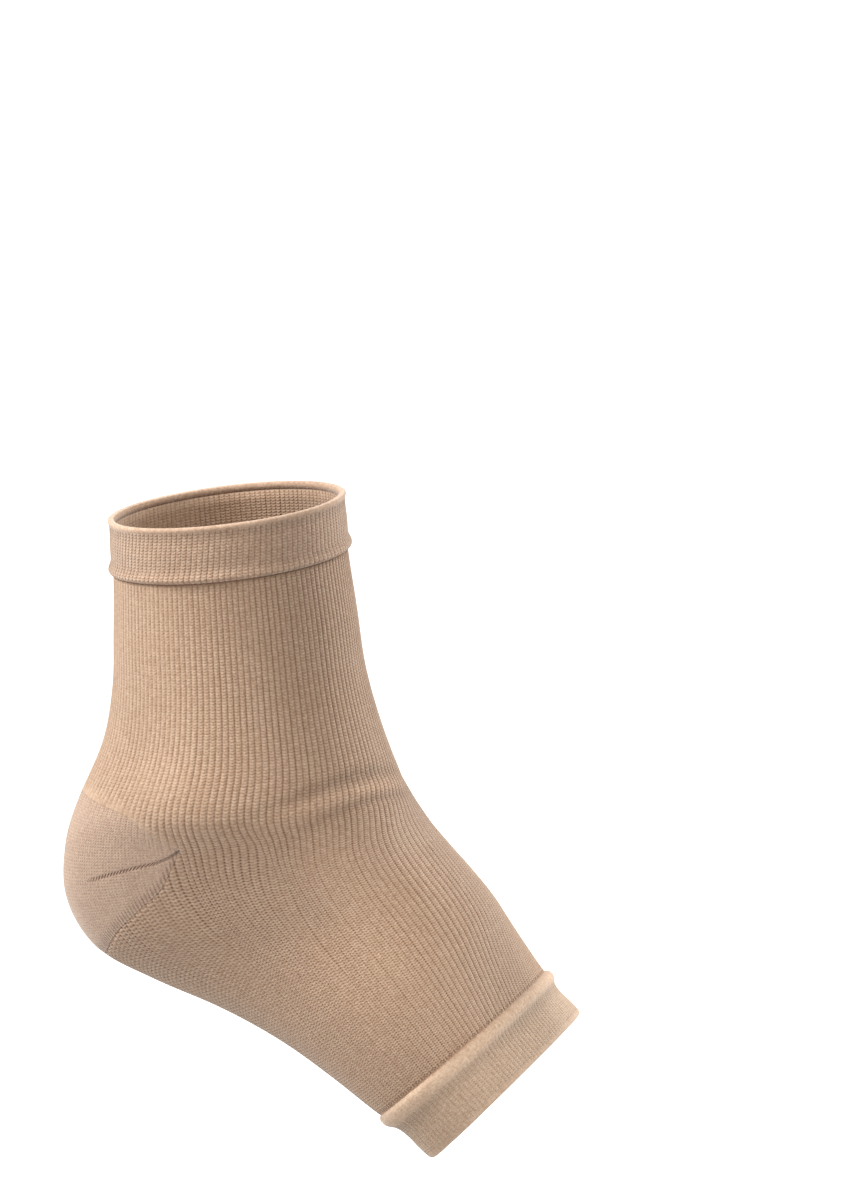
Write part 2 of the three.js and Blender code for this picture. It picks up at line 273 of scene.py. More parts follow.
def makeRibAngles():
    # Angles of the ribs: even lengths round each section of the foot, straight lines down the leg and ankle.
    stations = np.linspace(-knit["overrun"], formLength + knit["overrun"], knit["ribRows"])
    reach = math.pi - math.radians(heel["pocketTurn"])
    backRibs = knit["ribs"] - knit["frontRibs"]
    blocks = [(-reach, reach, knit["frontRibs"]), (reach, 2 * math.pi - reach, backRibs)]
    parts = []
    for start, end, count in blocks:
        angles = np.linspace(start, end, knit["ribSteps"])
        grid = np.broadcast_arrays(stations[:, None], angles[None, :])
        steps = np.linalg.norm(np.diff(formPoints(*grid), axis=1), axis=-1)
        length = np.concatenate([np.zeros((len(stations), 1)), np.cumsum(steps, axis=1)], axis=1)
        even = np.linspace(0, 1, count + 1)
        rows = np.array([np.interp(even * row[-1], row, angles) for row in length])
        share = fade(stations, knit["straightTo"], knit["evenFrom"])[:, None]
        straight = rows[len(stations) // 5]    # the angles that the ribs have on the lower leg
        rows = straight * (1 - share) + rows * share
        if not parts:
            pull = math.radians(knit["pull"]) * fade(stations, knit["pullFrom"], knit["pullTo"])
            pull *= 1 - fade(stations, knit["easeFrom"], knit["easeTo"])
            turn = rows / reach
            # 2.6 makes the full pull where turn * (1 - turn**2) is largest
            rows = rows + pull[:, None] * 2.6 * turn * (1 - turn**2)
        parts.append(rows[:, : count + (len(parts) == 1)])
    return stations, np.concatenate(parts, axis=1)


ribStations, ribTable = makeRibAngles()


def ribAngle(rib, station):
    # The angle of a rib, or of a place between two ribs, at a station.
    rib = np.clip(rib, 0, knit["ribs"] - 1e-9)
    column = rib.astype(int)
    share = rib - column
    place = (station - ribStations[0]) / (ribStations[1] - ribStations[0])
    place = np.clip(place, 0, len(ribStations) - 1.001)
    row = place.astype(int)
    rest = place - row
    upper = ribTable[row, column] * (1 - share) + ribTable[row, column + 1] * share
    lower = ribTable[row + 1, column] * (1 - share) + ribTable[row + 1, column + 1] * share
    return upper * (1 - rest) + lower * rest


def makeCourses():
    # Number of knit courses from the top rim to each station, counted along the side that faces out.
    stations = np.linspace(-knit["overrun"], formLength + knit["overrun"], knit["courseRows"])
    line = formPoints(stations, np.full(len(stations), math.radians(knit["courseLine"])))
    steps = np.linalg.norm(np.diff(line, axis=0), axis=-1)
    return stations, np.concatenate([[0], np.cumsum(steps)]) / knit["courseLength"]


courseStations, courseCounts = makeCourses()


def courseAt(station):
    return np.interp(station, courseStations, courseCounts)


def ribProfile(rib, sharpness=0.8):
    # 0 in the groove between two ribs and 1 on top of a rib.
    return np.abs(np.sin(math.pi * rib)) ** sharpness


def makeObject(name, points, faces, corners, attributes):
    # A smooth mesh object from points in millimetres, groups of faces, their UV corners and values a point.
    mesh = bpy.data.meshes.new(name)
    mesh.vertices.add(len(points))
    mesh.vertices.foreach_set("co", (points * mm).astype(np.float32).ravel())
    sizes = np.concatenate([np.full(len(group), group.shape[1]) for group in faces])
    loops = np.concatenate([group.ravel() for group in faces])
    mesh.loops.add(len(loops))
    mesh.loops.foreach_set("vertex_index", loops.astype(np.int32))
    mesh.polygons.add(len(sizes))
    mesh.polygons.foreach_set("loop_start", (np.cumsum(sizes) - sizes).astype(np.int32))
    mesh.polygons.foreach_set("use_smooth", np.ones(len(sizes), bool))
    mesh.update(calc_edges=True)
    layer = mesh.uv_layers.new(name="Knit")
    uv = np.concatenate([group.reshape(-1, 2) for group in corners])
    layer.uv.foreach_set("vector", uv.astype(np.float32).ravel())
    for key, values in attributes.items():
        attribute = mesh.attributes.new(key, "FLOAT", "POINT")
        attribute.data.foreach_set("value", np.asarray(values, np.float32).ravel())
    mesh.validate()
    piece = bpy.data.objects.new(name, mesh)
    bpy.context.scene.collection.objects.link(piece)
    return piece


def ringQuads(first, second, rib, course, inward=False):
    # Quads between two rings of points, with the rib and course number at each corner.
    columns = np.arange(len(first))
    nextColumn = (columns + 1) % len(first)
    quads = np.stack([first, second, second[nextColumn], first[nextColumn]], -1)
    left, right = rib[:-1], rib[1:]
    corners = np.stack([
        np.stack([left, course[0][columns]], -1), np.stack([left, course[1][columns]], -1),
        np.stack([right, course[1][nextColumn]], -1), np.stack([right, course[0][nextColumn]], -1),
    ], 1)
    if inward:
        return quads[:, ::-1], corners[:, ::-1]
    return quads, corners


def edgeFaces(outer, inner, perRib, ribs, course, atStart):
    # faces across a cut edge of the wall, one for each rib
    outerPoints = [outer[(ribs * perRib + i) % len(outer)] for i in range(perRib + 1)]
    outerRibs = [ribs + i / perRib for i in range(perRib + 1)]
    points = np.stack([inner[ribs], *outerPoints, inner[(ribs + 1) % len(inner)]], -1)
    ribValues = np.stack([ribs, *outerRibs, ribs + 1], -1)
    corners = np.stack([ribValues, np.full(ribValues.shape, course)], -1)
    if atStart:
        return points, corners
    return points[:, ::-1], corners[:, ::-1]


def evenSteps(start, end, step):
    # even places from start to end, no further apart than a step
    return np.linspace(start, end, math.ceil((end - start) / step) + 1)


# The sleeve: one ribbed tube with a hole for the heel pocket
openingTilt = math.radians(footSections[-1][1])
openingAhead = np.array([math.sin(openingTilt), 0, -math.cos(openingTilt)])
slant = footReach / float(np.dot(form["footLine"], openingAhead))    # stations for each millimetre ahead
sleeve = {
    "wall": 1.1, "start": 2.42, "end": formLength - 2.22 * slant,
    "columnsPerRib": 5,
    "legStep": 2.2, "creaseStart": 78, "creaseStep": 0.95, "footStep": 1.62, "innerStep": 3.4,
    "ribDepth": 0.2,       # on the leg
    "footRibDepth": 0.07,
    "ribEnd": 5.0,         # length over which the ribs run out above the heel pocket
    "tuck": 0.5,           # it sinks this far under the cuffs
    "topTuck": (2.5, 0.6), "footTuck": (0.8, 2.6),    # where it sinks, from the cuffs' edges
    "meshFrom": 90, "meshTo": 124,                    # stations where small holes set in
    "meshFront": 0.5, "meshSide": 0.4,                # how open it then is in front, and how much more beside
    "meshSideFrom": 30, "meshSideTo": 78,             # degrees from the front
    "flat": (0.19, 0.21),  # a tube 95 mm across and 210 mm long, before it is worn
}

# How much plainer the gaps of the knit are to see in some areas than on the front of the leg
boldness = {"beside": -0.2, "behind": -0.3, "foot": 0.35, "lowFoot": 0.3, "instep": -0.2}


def sleeveRows(stations, rib, seam, fixed):
    # station and angle of every point of the rows above the pocket's points (seam 0) or below them (seam 1)
    point = heel["pocketPoint"]
    stations = np.repeat(stations[:, None], len(rib), axis=1)
    ribs = np.broadcast_to(rib, stations.shape)
    behind = ribs > knit["frontRibs"]
    placed = stations
    for attempt in range(4):
        angle = ribAngle(ribs, placed)
        seamAt = seamStations(angle)[seam]
        placed = np.where(behind, fixed + (stations - fixed) * (seamAt - fixed) / (point - fixed), stations)
    return placed, ribAngle(ribs, placed)


def meshyAt(station, angle):
    # 0 where the ribs are plain, 1 where the knit opens into rows of small holes
    side = sleeve["meshSide"] * fade(degreesAside(angle), sleeve["meshSideFrom"], sleeve["meshSideTo"])
    return fade(station, sleeve["meshFrom"], sleeve["meshTo"]) * (sleeve["meshFront"] + side)


def boldAt(station, angle):
    # how plain the gaps of the knit are to see: faint up the back of the leg, bold below the ankle
    aside = degreesAside(angle)
    foot = fade(station, 84, 112)
    areas = {
        "beside": fade(aside, 40, 90),
        "behind": fade(aside, 90, 120) * (1 - foot),
        "foot": foot,
        "lowFoot": foot * (1 - fade(station, 120, 165)) * fade(aside, 60, 90),
        "instep": foot * (1 - fade(aside, 25, 70)),
    }
    return 1 + sum(boldness[name] * area for name, area in areas.items())


def faintAt(station, angle):
    # 1 where the ribs run out above the heel pocket
    upper = seamStations(angle)[0]
    above = (pocketTurnAt(angle) < 1) & (station <= upper + 0.1)
    return np.where(above, 1 - fade(upper - station, 0, sleeve["ribEnd"]), 0)


def hemAwayAt(station):
    # millimetres to the rear edge of the foot cuff
    return (formLength - footCuff["length"] * slant - station) / slant


def sleeveOut(station, angle, rib):
    # how far the outer face stands out from the form
    meshy = meshyAt(station, angle)
    depth = sleeve["ribDepth"] * (1 - meshy) + sleeve["footRibDepth"] * meshy
    lower = seamStations(angle)[1]
    dip = np.where(pocketTurnAt(angle) < 1, heel["seamDip"] * bump(station, lower, heel["seamWidth"]), 0)
    depth = depth * (1 - (1 - heel["ribShare"]) * faintAt(station, angle))
    covered = 1 - fade(station, *(topCuff["length"] - away for away in sleeve["topTuck"]))
    covered += fade(-hemAwayAt(station), *sleeve["footTuck"])
    ribbing = depth * (1 - ribProfile(rib))
    return sleeve["wall"] + knit["ribRise"] - ribbing - dip - sleeve["tuck"] * covered


def sleeveLayer(perRib, legStep, creaseStep, footStep, outer, base):
    # the points, rings and point values of the outer or inner face
    columns = knit["ribs"] * perRib
    rib = np.arange(columns) / perRib
    shared = knit["frontRibs"] * perRib + 1
    legStations = evenSteps(sleeve["start"], sleeve["creaseStart"], legStep)[:-1]
    creaseStations = evenSteps(sleeve["creaseStart"], heel["pocketPoint"], creaseStep)
    footStations = evenSteps(heel["pocketPoint"], sleeve["end"], footStep)
    above = sleeveRows(np.concatenate([legStations, creaseStations]), rib, 0, sleeve["start"])
    below = sleeveRows(footStations, rib, 1, sleeve["end"])
    aboveRings = base + np.arange(above[0].size).reshape(above[0].shape)
    seamStart = base + above[0].size
    seamRing = np.concatenate([aboveRings[-1, :shared], seamStart + np.arange(columns - shared)])
    rest = seamStart + columns - shared + np.arange(below[0][1:].size).reshape(below[0][1:].shape)
    rings = [aboveRings, np.vstack([seamRing[None], rest])]
    station = np.concatenate([above[0].ravel(), below[0][0, shared:], below[0][1:].ravel()])
    angle = np.concatenate([above[1].ravel(), below[1][0, shared:], below[1][1:].ravel()])
    ribs = np.concatenate([np.tile(rib, len(aboveRings)), rib[shared:], np.tile(rib, len(rest))])
    out = sleeveOut(station, angle, ribs) if outer else np.zeros(len(station))
    away = 0 if outer else 50    # keeps the holes and the painted shadow along the cuffs off the inner face
    return {
        "points": wallPoints(station, angle, out), "rings": rings, "stations": [above[0], below[0]],
        "columns": columns, "perRib": perRib,
        "values": {
            "meshy": meshyAt(station, angle), "faint": faintAt(station, angle),
            "bold": boldAt(station, angle), "tone": paintedShadingAt(station, angle),
            "hemAway": hemAwayAt(station) + away, "cuffAway": station - topCuff["length"] + away,
        },
    }


def makeSleeve():
    perRib = sleeve["columnsPerRib"]
    outer = sleeveLayer(perRib, sleeve["legStep"], sleeve["creaseStep"], sleeve["footStep"], True, 0)
    step = sleeve["innerStep"]
    inner = sleeveLayer(1, step, step, step, False, len(outer["points"]))
    faces, corners = [], []
    for layer in (outer, inner):
        ribEdges = np.arange(layer["columns"] + 1) / layer["perRib"]
        for rings, stations in zip(layer["rings"], layer["stations"]):
            for row in range(len(rings) - 1):
                courses = (courseAt(stations[row]), courseAt(stations[row + 1]))
                quads, uv = ringQuads(rings[row], rings[row + 1], ribEdges, courses, layer is inner)
                faces.append(quads)
                corners.append(uv)
    allRibs = np.arange(knit["ribs"])
    backRibs = np.arange(knit["frontRibs"], knit["ribs"])
    edges = [
        (0, 0, allRibs, sleeve["start"], True), (0, -1, backRibs, heel["pocketPoint"], False),
        (1, 0, backRibs, heel["pocketPoint"], True), (1, -1, allRibs, sleeve["end"], False),
    ]
    for part, row, ribs, station, atStart in edges:
        outerRing, innerRing = outer["rings"][part][row], inner["rings"][part][row]
        points, uv = edgeFaces(outerRing, innerRing, perRib, ribs, courseAt(station), atStart)
        faces.append(points)
        corners.append(uv)
    points = np.concatenate([outer["points"], inner["points"]])
    values = {key: np.concatenate([outer["values"][key], inner["values"][key]]) for key in outer["values"]}
    return makeObject("knit_sleeve", points, faces, corners, values)


# The heel pocket: a patch of plain fine knit with a stitched gore line on each side
goreLine = smoothTable(
    [0.3, 0.456, 0.603, 0.706, 0.794, 0.882, 0.956, 1.0],
    [[111.0], [110.1], [108.8], [107.9], [107.0], [106.1], [104.2], [102.4]],
)


def heelGrid(perRib, rows):
    # station, angle and rib of every point, in rows from the upper seam to the lower one
    backRibs = knit["ribs"] - knit["frontRibs"]
    rib = knit["frontRibs"] + np.arange(backRibs * perRib + 1) / perRib
    share = np.linspace(0, 1, rows + 1)[:, None]
    ribs = np.broadcast_to(rib, (rows + 1, len(rib)))
    placed = np.full(ribs.shape, float(heel["pocketPoint"]))
    for attempt in range(5):
        upper, lower = seamStations(ribAngle(ribs, placed))
        placed = (upper - heel["lap"]) * (1 - share) + (lower + heel["lap"]) * share
    return placed, ribAngle(ribs, placed), ribs


def heelLayer(perRib, rows, outer, base):
    # the points, faces' corners and point values of the outer or inner face
    station, angle, ribs = heelGrid(perRib, rows)
    upper, lower = seamStations(angle)
    turn = pocketTurnAt(angle)
    toUpper, toLower = station - upper, lower - station
    goreSide = station - goreLine(turn)[..., 0]
    goreShow = fade(turn, heel["goreStart"], heel["goreFull"])
    out = np.zeros(station.shape)
    if outer:
        ribbing = sleeve["ribDepth"] * heel["ribShare"] * (1 - fade(toUpper, 0, heel["ribReach"]))
        out += heel["wall"] + knit["ribRise"] - ribbing * (1 - ribProfile(ribs))
        out -= heel["seamDip"] * bump(toLower, 0, heel["seamWidth"])
        out -= heel["goreDip"] * goreShow * bump(goreSide, 0, heel["goreWidth"])
        out += heel["lapRise"] * bump(np.minimum(toUpper, toLower), -1.2 * heel["lap"], 1.5 * heel["lap"])
    points = wallPoints(station, angle, out)
    along = np.concatenate([
        np.zeros((rows + 1, 1)), np.cumsum(np.linalg.norm(np.diff(points, axis=1), axis=-1), axis=1),
    ], axis=1)
    # every row runs into one point at each end of the pocket
    inside = base + 2 + np.arange((rows + 1) * (ribs.shape[1] - 2)).reshape(rows + 1, -1)
    ids = np.column_stack([np.full(rows + 1, base), inside, np.full(rows + 1, base + 1)])

    def flat(values):
        ends = values[:1, [0, -1]].reshape((2,) + values.shape[2:])
        return np.concatenate([ends, values[:, 1:-1].reshape((-1,) + values.shape[2:])])

    values = {
        "lowerSeam": toLower, "upperSeam": toUpper, "goreSide": goreSide,
        "goreShow": goreShow, "goreAlong": along, "tone": paintedShadingAt(station, angle),
    }
    return {
        "points": flat(points), "ids": ids, "ribs": ribs, "course": courseAt(station),
        "values": {key: flat(value) for key, value in values.items()},
    }


def makeHeel():
    outer = heelLayer(heel["columnsPerRib"], heel["rows"], True, 0)
    inner = heelLayer(1, heel["innerRows"], False, len(outer["points"]))
    faces, corners = [], []
    for layer in (outer, inner):
        ids, ribs, course = layer["ids"], layer["ribs"], layer["course"]
        quads = np.stack([ids[:-1, :-1], ids[1:, :-1], ids[1:, 1:], ids[:-1, 1:]], -1)
        uv = np.stack([ribs, course], -1)
        quadUv = np.stack([uv[:-1, :-1], uv[1:, :-1], uv[1:, 1:], uv[:-1, 1:]], 2)
        groups = [
            (quads[:, 1:-1].reshape(-1, 4), quadUv[:, 1:-1].reshape(-1, 4, 2)),
            (quads[:, 0][:, [0, 2, 3]], quadUv[:, 0][:, [0, 2, 3]]),
            (quads[:, -1][:, [0, 1, 2]], quadUv[:, -1][:, [0, 1, 2]]),
        ]
        for group, groupUv in groups:
            faces.append(group[:, ::-1] if layer is inner else group)
            corners.append(groupUv[:, ::-1] if layer is inner else groupUv)
    perRib = heel["columnsPerRib"]
    ribs = np.arange(knit["ribs"] - knit["frontRibs"])
    for row, atStart in ((0, True), (-1, False)):
        outerRow, innerRow = outer["ids"][row], inner["ids"][row]
        points, uv = edgeFaces(outerRow, innerRow, perRib, ribs, heel["edgeCourse"], atStart)
        faces.append(points)
        corners.append(uv)
    points = np.concatenate([outer["points"], inner["points"]])
    values = {key: np.concatenate([outer["values"][key], inner["values"][key]]) for key in outer["values"]}
    return makeObject("heel_patch", points, faces, corners, values)


def sweptPiece(name, profile, perRib, wallAt, attributesAt):
    # a closed band: rows of station and height, down the outside and back up the inside
    columns = knit["ribs"] * perRib
    rib = np.arange(columns) / perRib
    station = np.repeat(np.array([row[0] for row in profile])[:, None], columns, axis=1)
    height = np.array([row[1] for row in profile])[:, None]
    outside = np.array([row[2] for row in profile])[:, None]
    ribs = np.broadcast_to(rib, station.shape)
    angle = ribAngle(ribs, station)
    out = wallAt(station, angle, ribs, height, outside)
    rings = np.arange(station.size).reshape(station.shape)
    faces, corners = [], []
    ribEdges = np.arange(columns + 1) / perRib
    for row in range(len(profile)):
        nextRow = (row + 1) % len(profile)
        courses = (courseAt(station[row]), courseAt(station[nextRow]))
        quads, uv = ringQuads(rings[row], rings[nextRow], ribEdges, courses)
        faces.append(quads)
        corners.append(uv)
    points = wallPoints(station.ravel(), angle.ravel(), out.ravel())
    return makeObject(name, points, faces, corners, attributesAt(station, angle, outside * np.ones(columns)))


def smoothProfile(outside, inside, steps):
    # the outside in small even steps through its named points, then the inside as it stands
    places = np.array(outside, float)
    lengths = np.concatenate([[0], np.cumsum(np.hypot(*np.diff(places, axis=0).T))])
    through = smoothTable(lengths, places)
    rows = [(station, height, 1) for station, height in through(np.linspace(0, lengths[-1], steps))]
    return rows + [(station, height, 0) for station, height in inside]


# The top cuff: doubled rib knit turned over the sleeve's end, closed by a thin rolled rim
topCuff = {
    "length": 17.3, "lap": 0.9, "wall": 1.1,
    "rimLength": 1.3, "rimSwell": 0.16,
    "hemSwell": 0.75,
    "ribDepth": 0.1, "lean": 1.5, "columnsPerRib": 6, "steps": 38,
    # painted light on the rolled rim
    "rimPaintedLight": 0.12,
    # painted lines of light and shade along it: painted shade below the rim and above the hem, painted light
    # on the hem. at: share of its length. reach in millimetres
    "shades": [
        {"at": 0.16, "reach": 1.6, "strength": -0.12},
        {"at": 0.8, "reach": 1.3, "strength": -0.1},
        {"at": 0.92, "reach": 1.1, "strength": 0.1},
    ],
    "flat": (0.19, 0.019),
}


def makeTopCuff():
    face = topCuff["lap"] + topCuff["wall"]
    rimLength, length = topCuff["rimLength"], topCuff["length"]
    rim = face + topCuff["rimSwell"]
    outside = [
        (0.25 * rimLength, 0), (0.02 * rimLength, face * 0.45), (0.08 * rimLength, face * 0.85),
        (0.45 * rimLength, rim), (0.8 * rimLength, rim - 0.08), (1.2 * rimLength, face - 0.14),
        (1.8 * rimLength, face - 0.3), (0.25 * length, face - 0.3), (0.5 * length, face - 0.12),
        (0.76 * length, face - 0.1), (0.87 * length, face + 0.75 * topCuff["hemSwell"]),
        (0.93 * length, face + topCuff["hemSwell"]),
        (0.975 * length, face + 0.4 * topCuff["hemSwell"]), (length, face - 0.5 * topCuff["wall"]),
        (0.995 * length, topCuff["lap"]),
    ]
    inside = [
        (0.75 * length, topCuff["lap"]), (0.45 * length, topCuff["lap"]), (2.4, topCuff["lap"]),
        (2.4, 0), (1.2, 0),
    ]

    def leanAt(station, angle):
        # the ribs lean back a little round the outer side
        return 0.5 * topCuff["lean"] * (station / length) * (1 - np.cos(angle - math.radians(30)))

    def wallAt(station, angle, rib, height, outer):
        depth = topCuff["ribDepth"] * fade(station, rimLength, 2.2 * rimLength)
        return height - outer * depth * (1 - ribProfile(rib + leanAt(station, angle), 0.9))

    def attributesAt(station, angle, outer):
        onRim = 1 - fade(station, 0.9 * rimLength, 1.6 * rimLength)
        # painted light on the rim and painted lines of light and shade along the cuff
        shade = topCuff["rimPaintedLight"] * onRim
        for line in topCuff["shades"]:
            shade = shade + line["strength"] * bump(station, line["at"] * length, line["reach"])
        return {
            "lean": leanAt(station, angle), "rim": np.maximum(onRim, 0.6 * (1 - outer)),
            "tone": paintedShadingAt(station, angle) * np.exp(shade),
        }

    profile = smoothProfile(outside, inside, topCuff["steps"])
    return sweptPiece("rib_cuff_top", profile, topCuff["columnsPerRib"], wallAt, attributesAt)


# The foot cuff: a raised rear ridge, a stitched valley, a finely ribbed band and a thin round lip
footCuff = {
    "length": 21.3, "lap": 0.9, "wall": 1.2,
    "lipLength": 2.2, "ridgeLength": 5.4, "ridgeSwell": 0.95, "valleyDepth": 0.45,
    "ribDepth": 0.05, "columnsPerRib": 6, "steps": 40,
    # painted light on the ridge's crest and painted shade in the valley beside it
    "crestPaintedLight": 0.05, "valleyPaintedShade": -0.2,
    "flat": (0.18, 0.021),
}


def makeFootCuff():
    face = footCuff["lap"] + footCuff["wall"]
    lip, ridge, swell = footCuff["lipLength"], footCuff["ridgeLength"], footCuff["ridgeSwell"]
    length, valley = footCuff["length"], footCuff["valleyDepth"]

    def fromEdge(distance):
        return formLength - distance * slant

    outside = [
        (fromEdge(length), footCuff["lap"]), (fromEdge(length), footCuff["lap"] + 0.4 * footCuff["wall"]),
        (fromEdge(length - 0.12 * ridge), face + 0.5 * swell),
        (fromEdge(length - 0.35 * ridge), face + 0.95 * swell),
        (fromEdge(length - 0.55 * ridge), face + swell),
        (fromEdge(length - 0.8 * ridge), face + 0.55 * swell),
        (fromEdge(length - 1.05 * ridge), face - 0.4 * valley),
        (fromEdge(length - 1.4 * ridge), face - valley),
        (fromEdge(length - 2 * ridge), face - 0.7 * valley), (fromEdge(0.3 * length), face + 0.2),
        (fromEdge(lip), face + 0.45), (fromEdge(0.4 * lip), face + 0.2),
        (fromEdge(0.05 * lip), face * 0.6), (fromEdge(0.2 * lip), 0),
    ]
    inside = [(fromEdge(lip), 0), (fromEdge(lip), footCuff["lap"]), (fromEdge(0.5 * length), footCuff["lap"])]

    def plainAt(station):
        # the ridge and the lip show no ribs
        onRidge = 1 - fade(station, fromEdge(length - 0.7 * ridge), fromEdge(length - 1.1 * ridge))
        return np.maximum(0.75 * onRidge, fade(station, fromEdge(1.3 * lip), fromEdge(0.8 * lip)))

    def wallAt(station, angle, rib, height, outer):
        depth = footCuff["ribDepth"] * (1 - plainAt(station))
        return height - outer * depth * (1 - ribProfile(rib, 0.9))

    def attributesAt(station, angle, outer):
        # painted light on the ridge's crest and painted shade in the valley
        shade = footCuff["crestPaintedLight"] * bump(station, fromEdge(length - 0.45 * ridge), 0.35 * ridge)
        shade += footCuff["valleyPaintedShade"] * bump(station, fromEdge(length - 1.3 * ridge), 0.5 * ridge)
        return {
            "lean": 0 * station, "rim": plainAt(station), "tone": paintedShadingAt(station, angle) * np.exp(shade),
        }

    profile = smoothProfile(outside, inside, footCuff["steps"])
    return sweptPiece("rib_cuff_foot", profile, footCuff["columnsPerRib"], wallAt, attributesAt)


# Shader nodes
def addNode(tree, kind, **settings):
    made = tree.nodes.new(kind)
    for key, value in settings.items():
        setattr(made, key, value)
    return made


def feed(tree, socket, value):
    if isinstance(value, bpy.types.NodeSocket):
        tree.links.new(value, socket)
    else:
        socket.default_value = value


def maths(tree, operation, *values):
    made = addNode(tree, "ShaderNodeMath", operation=operation)
    for socket, value in zip(made.inputs, values):
        feed(tree, socket, value)
    return made.outputs[0]


def times(tree, first, second):
    return maths(tree, "MULTIPLY", first, second)


def power(tree, base, exponent):
    return maths(tree, "POWER", base, exponent)


def blendValues(tree, share, first, second):
    made = addNode(tree, "ShaderNodeMix", data_type="FLOAT")
    feed(tree, made.inputs["Factor"], share)
    feed(tree, made.inputs[2], first)
    feed(tree, made.inputs[3], second)
    return made.outputs[0]


def blendColours(tree, share, first, second, how="MIX"):
    made = addNode(tree, "ShaderNodeMix", data_type="RGBA", blend_type=how)
    feed(tree, made.inputs["Factor"], share)
    feed(tree, made.inputs[6], first)
    feed(tree, made.inputs[7], second)
    return made.outputs[2]


def ramp(tree, value, start, end):
    # from 0 at start to 1 at end, smoothly
    made = addNode(tree, "ShaderNodeMapRange", interpolation_type="SMOOTHSTEP")
    feed(tree, made.inputs["Value"], value)
    made.inputs["From Min"].default_value = start
    made.inputs["From Max"].default_value = end
    return made.outputs[0]


def attribute(tree, name):
    return addNode(tree, "ShaderNodeAttribute", attribute_name=name).outputs["Fac"]


def newGroup(name, inputs, outputs):
    group = bpy.data.node_groups.new(name, "ShaderNodeTree")
    for label, default in inputs.items():
        kind = "NodeSocketVector" if default is None else "NodeSocketFloat"
        socket = group.interface.new_socket(name=label, in_out="INPUT", socket_type=kind)
        if default is not None:
            socket.default_value = default
    for label in outputs:
        group.interface.new_socket(name=label, in_out="OUTPUT", socket_type="NodeSocketFloat")
    return group, addNode(group, "NodeGroupInput").outputs, addNode(group, "NodeGroupOutput").inputs


def wave(tree, value):
    # 1 at whole numbers, 0 half way between them
    turned = maths(tree, "COSINE", times(tree, value, 2 * math.pi))
    return maths(tree, "MULTIPLY_ADD", turned, 0.5, 0.5)


stitchShape = {
    "grooveLeast": 0.8, "grooveSpread": 0.35,    # the grooves between the ribs aren't all alike
    "courseWave": 0.3,                           # share of a plain groove that comes and goes along it
    "holeSharp": 1.4, "midHoles": 0.8,           # small holes of the open knit, and those between two rows
    "ladder": 0.4, "ladderSharp": 3.0,           # the faint line between two courses
    "loopHeight": 0.35,
}


def makeStitches():
    # rib knit from rib and course numbers: dark gaps, the height of the yarn and a tone for each stitch
    inputs = {"Rib": 0.0, "Course": 0.0, "Meshy": 0.0, "Sharp": 5.0, "Arch": 0.3}
    tree, given, result = newGroup("knitStitches", inputs, ["Gap", "Height", "Tone"])
    ribWave = wave(tree, given["Rib"])
    bent = maths(tree, "MULTIPLY_ADD", ribWave, given["Arch"], given["Course"])
    courseWave = wave(tree, bent)
    ribNoise = addNode(tree, "ShaderNodeTexWhiteNoise", noise_dimensions="1D")
    feed(tree, ribNoise.inputs["W"], maths(tree, "ROUND", given["Rib"]))
    groove = power(tree, ribWave, given["Sharp"])
    least, spread = stitchShape["grooveLeast"], stitchShape["grooveSpread"]
    unlike = maths(tree, "MULTIPLY_ADD", ribNoise.outputs["Value"], spread, least)
    groove = times(tree, groove, unlike)
    midGroove = power(tree, maths(tree, "SUBTRACT", 1.0, ribWave), given["Sharp"])
    share = stitchShape["courseWave"]
    plain = maths(tree, "MULTIPLY_ADD", courseWave, share, 1 - share)
    holes = power(tree, courseWave, stitchShape["holeSharp"])
    along = blendValues(tree, given["Meshy"], plain, holes)
    midHoles = times(tree, times(tree, holes, stitchShape["midHoles"]), given["Meshy"])
    gap = times(tree, groove, along)
    gap = maths(tree, "ADD", gap, times(tree, midGroove, midHoles))
    ladder = power(tree, courseWave, stitchShape["ladderSharp"])
    gap = maths(tree, "MAXIMUM", gap, times(tree, ladder, stitchShape["ladder"]))
    feed(tree, result["Gap"], gap)
    loops = times(tree, maths(tree, "SUBTRACT", 1.0, courseWave), stitchShape["loopHeight"])
    feed(tree, result["Height"], maths(tree, "SUBTRACT", loops, gap))
    cell = addNode(tree, "ShaderNodeCombineXYZ")
    feed(tree, cell.inputs[0], maths(tree, "FLOOR", times(tree, given["Rib"], 2.0)))
    feed(tree, cell.inputs[1], maths(tree, "FLOOR", given["Course"]))
    grain = addNode(tree, "ShaderNodeTexWhiteNoise", noise_dimensions="2D")
    feed(tree, grain.inputs["Vector"], cell.outputs[0])
    feed(tree, result["Tone"], grain.outputs["Value"])
    return tree


def makeFuzz():
    # soft mottling of the yarn and a fine fibre grain
    inputs = {"Place": None, "Mottle": 45.0, "Fibre": 1500.0}
    tree, given, result = newGroup("yarnFuzz", inputs, ["Mottling", "Fibres"])
    for label, scale, detail in (("Mottling", "Mottle", 3.0), ("Fibres", "Fibre", 2.0)):
        noise = addNode(tree, "ShaderNodeTexNoise")
        feed(tree, noise.inputs["Vector"], given["Place"])
        feed(tree, noise.inputs["Scale"], given[scale])
        noise.inputs["Detail"].default_value = detail
        feed(tree, result[label], noise.outputs["Fac"])
    return tree


stitches = makeStitches()
fuzz = makeFuzz()


def useGroup(tree, group, **values):
    made = addNode(tree, "ShaderNodeGroup", node_tree=group)
    for label, value in values.items():
        feed(tree, made.inputs[label.capitalize()], value)
    return made.outputs


def offMiddle(tree, value, strength, base):
    # base, more or less by how far the value is from its middle, 0.5
    return maths(tree, "MULTIPLY_ADD", maths(tree, "SUBTRACT", value, 0.5), strength, base)


